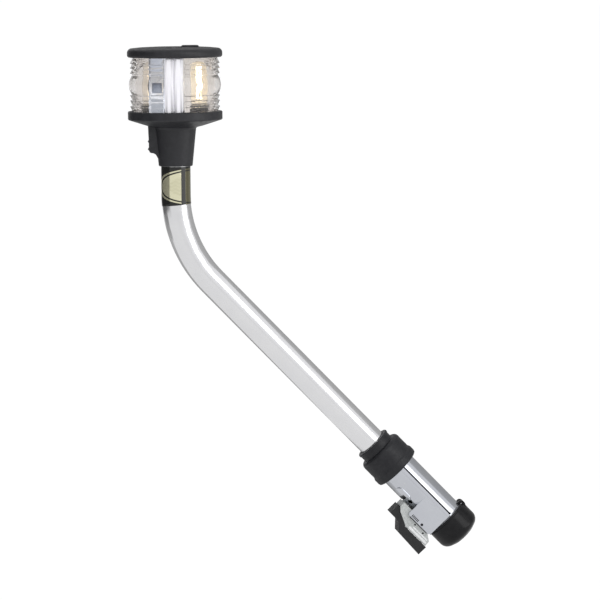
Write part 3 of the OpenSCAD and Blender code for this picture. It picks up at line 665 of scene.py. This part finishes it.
def lens_outline():
    """The lens's section. Saw-tooth ribs above and below point at the round band at mid height."""
    low, high = LENS_LOW + LENS_SPIGOT, LENS_HIGH - LENS_SPIGOT
    middle = (low + high) / 2 - BARREL_DROP
    blunt = RIB_TIP - RIB_BLUNT_IN
    points = [(LENS_IN, LENS_LOW), (LENS_WALL, LENS_LOW), (LENS_WALL, low + FOOT_LOW)]
    for tip in TIPS_BELOW:
        z = low + tip
        points += [(LENS_NOTCH, z - RIB_RISE), (blunt, z - RIB_BLUNT_UP)]
        points += [(RIB_TIP, z), (LENS_NOTCH, z + RIB_LAND)]
    for i in range(BARREL_STEPS + 1):
        rise = BARREL_HALF * (2 * i / BARREL_STEPS - 1)
        bulge = math.sqrt(BARREL_CURVE ** 2 - rise ** 2) - BARREL_CURVE
        points.append((BARREL_TIP + bulge, middle + rise))
    for tip in TIPS_ABOVE:
        z = low + tip
        points += [(LENS_NOTCH, z - RIB_LAND), (RIB_TIP, z)]
        points += [(blunt, z + RIB_BLUNT_UP), (LENS_NOTCH, z + RIB_RISE)]
    return points + [(LENS_WALL, high - FOOT_HIGH), (LENS_WALL, LENS_HIGH), (LENS_IN, LENS_HIGH)]


def add_lens(node, start, sweep):
    """A ribbed lens in place of a plain CAD one, from angle start, in degrees."""
    outline = lens_outline()
    steps = round(sweep * STEPS_PER_DEGREE)
    mesh = mesh_from(node + "_fine", lambda bm: revolve(bm, outline, start, sweep, steps), IN_HEAD)
    piece = add_piece(node + "_fine", mesh, LENS, "pole", sharp=14)
    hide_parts(node)


add_lens("left_lens", 90 + LEFT_EDGE, 180 - 2 * LEFT_EDGE)
add_lens("right_lens", RIGHT_EDGE - 90, 180 - 2 * RIGHT_EDGE)

# ---------------------------------------------------------------- bulb coils

COIL_TURNS = 9
COIL_SIDES = 16
COIL_R = 2.1
COIL_WIRE_R = 0.62
COIL_HEIGHT = 17.0
COIL_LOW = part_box("left_bulb_glass")[0].z + 8.5 * MM


def add_coil(name, bulb, finish):
    """A coiled filament inside a bulb's glass."""
    steps = COIL_TURNS * COIL_SIDES
    path = []
    for i in range(steps + 1):
        angle = 2 * math.pi * i / COIL_SIDES
        path.append(Vector((COIL_R * math.cos(angle), COIL_R * math.sin(angle), COIL_HEIGHT * i / steps)))
    place = Matrix.Translation((bulb.x, bulb.y, COIL_LOW))
    mesh = mesh_from(name, lambda bm: sweep_tube(bm, path, COIL_WIRE_R, 8), place)
    add_piece(name, mesh, finish, "pole", sharp=30)


add_coil("lit_coil", BULB_RIGHT, COIL)
add_coil("dim_coil", BULB_LEFT, DIM_COIL)

# ---------------------------------------------------------------- latch details

# In the stem's frame, in millimetres. Bars are (start, end, radius), their ends given as w and h
LEVER_SIDE = 13.8
LEVER_BARS = (((-29.5, 20.5), (-29.2, 0.8), 1.15), ((-26.9, 18.0), (-26.7, 1.6), 0.75))
FLANK_SIDE = 13.45
# Painted shadow: a dark bar on the lever's flank along the cheek's edge, where the gap between them lies in
# shade
LEVER_SHADOW_LINE = (((-22.6, 27.0), (-22.3, 6.2), 0.4),)
CHEEK_SIDE = 16.75
MARK_TOP = 26.6
MARK_STEP = 1.35
MARK_HEIGHTS = [MARK_TOP - MARK_STEP * number for number in range(6)]
CHEEK_MARKS = [((-21.0, h), (-19.2, h), 0.42) for h in MARK_HEIGHTS]
# A bar is this share of its radius high, and as much narrower at its top
BAR_RISE = 0.45
# How far inside its side face a bar starts
SUNK = 0.05


def round_bar(bm, start, end, y, radius, sides=16, rounds=4):
    """A raised bar with round ends on a side face, from start to end."""
    a, b = Vector((start[0], 0, start[1])), Vector((end[0], 0, end[1]))
    along = (b - a).normalized()
    across = Vector((0, 1 if y > 0 else -1, 0))
    over = along.cross(across)
    outline = []
    for at, way in ((a, -1), (b, 1)):
        for i in range(sides + 1):
            angle = math.pi * i / sides - math.pi / 2
            outline.append(at + radius * way * (math.cos(angle) * along + math.sin(angle) * over))
    rings = []
    for k in range(rounds + 1):
        tilt = math.pi / 2 * k / rounds
        shrink = 1 - (1 - math.cos(tilt)) * BAR_RISE
        lift = Vector((0, y, 0)) + across * radius * BAR_RISE * math.sin(tilt)
        ring = []
        for point in outline:
            nearest = a + along * min(max((point - a).dot(along), 0), (b - a).length)
            ring.append(bm.verts.new(nearest + (point - nearest) * shrink + lift))
        rings.append(ring)
    skin(bm, rings)


def add_bars(name, bars, side_at, finish, body):
    """The same raised bars on both side faces, each side's as one piece."""
    for side, end in ((-1, "front"), (1, "back")):
        def build(bm):
            for start, stop, radius in bars:
                round_bar(bm, start, stop, side * (side_at - SUNK), radius)
        add_piece(f"{name}_{end}", mesh_from(f"{name}_{end}", build, IN_STEM), finish, body, sharp=40)


add_bars("lever_bars", LEVER_BARS, LEVER_SIDE, POLISHED, "latch")
# The dark bars on the lever's flanks are painted shadow
add_bars("lever_painted_shadow", LEVER_SHADOW_LINE, FLANK_SIDE, SOCKET, "latch")
add_bars("cheek_marks", CHEEK_MARKS, CHEEK_SIDE, SOCKET, "sleeve")
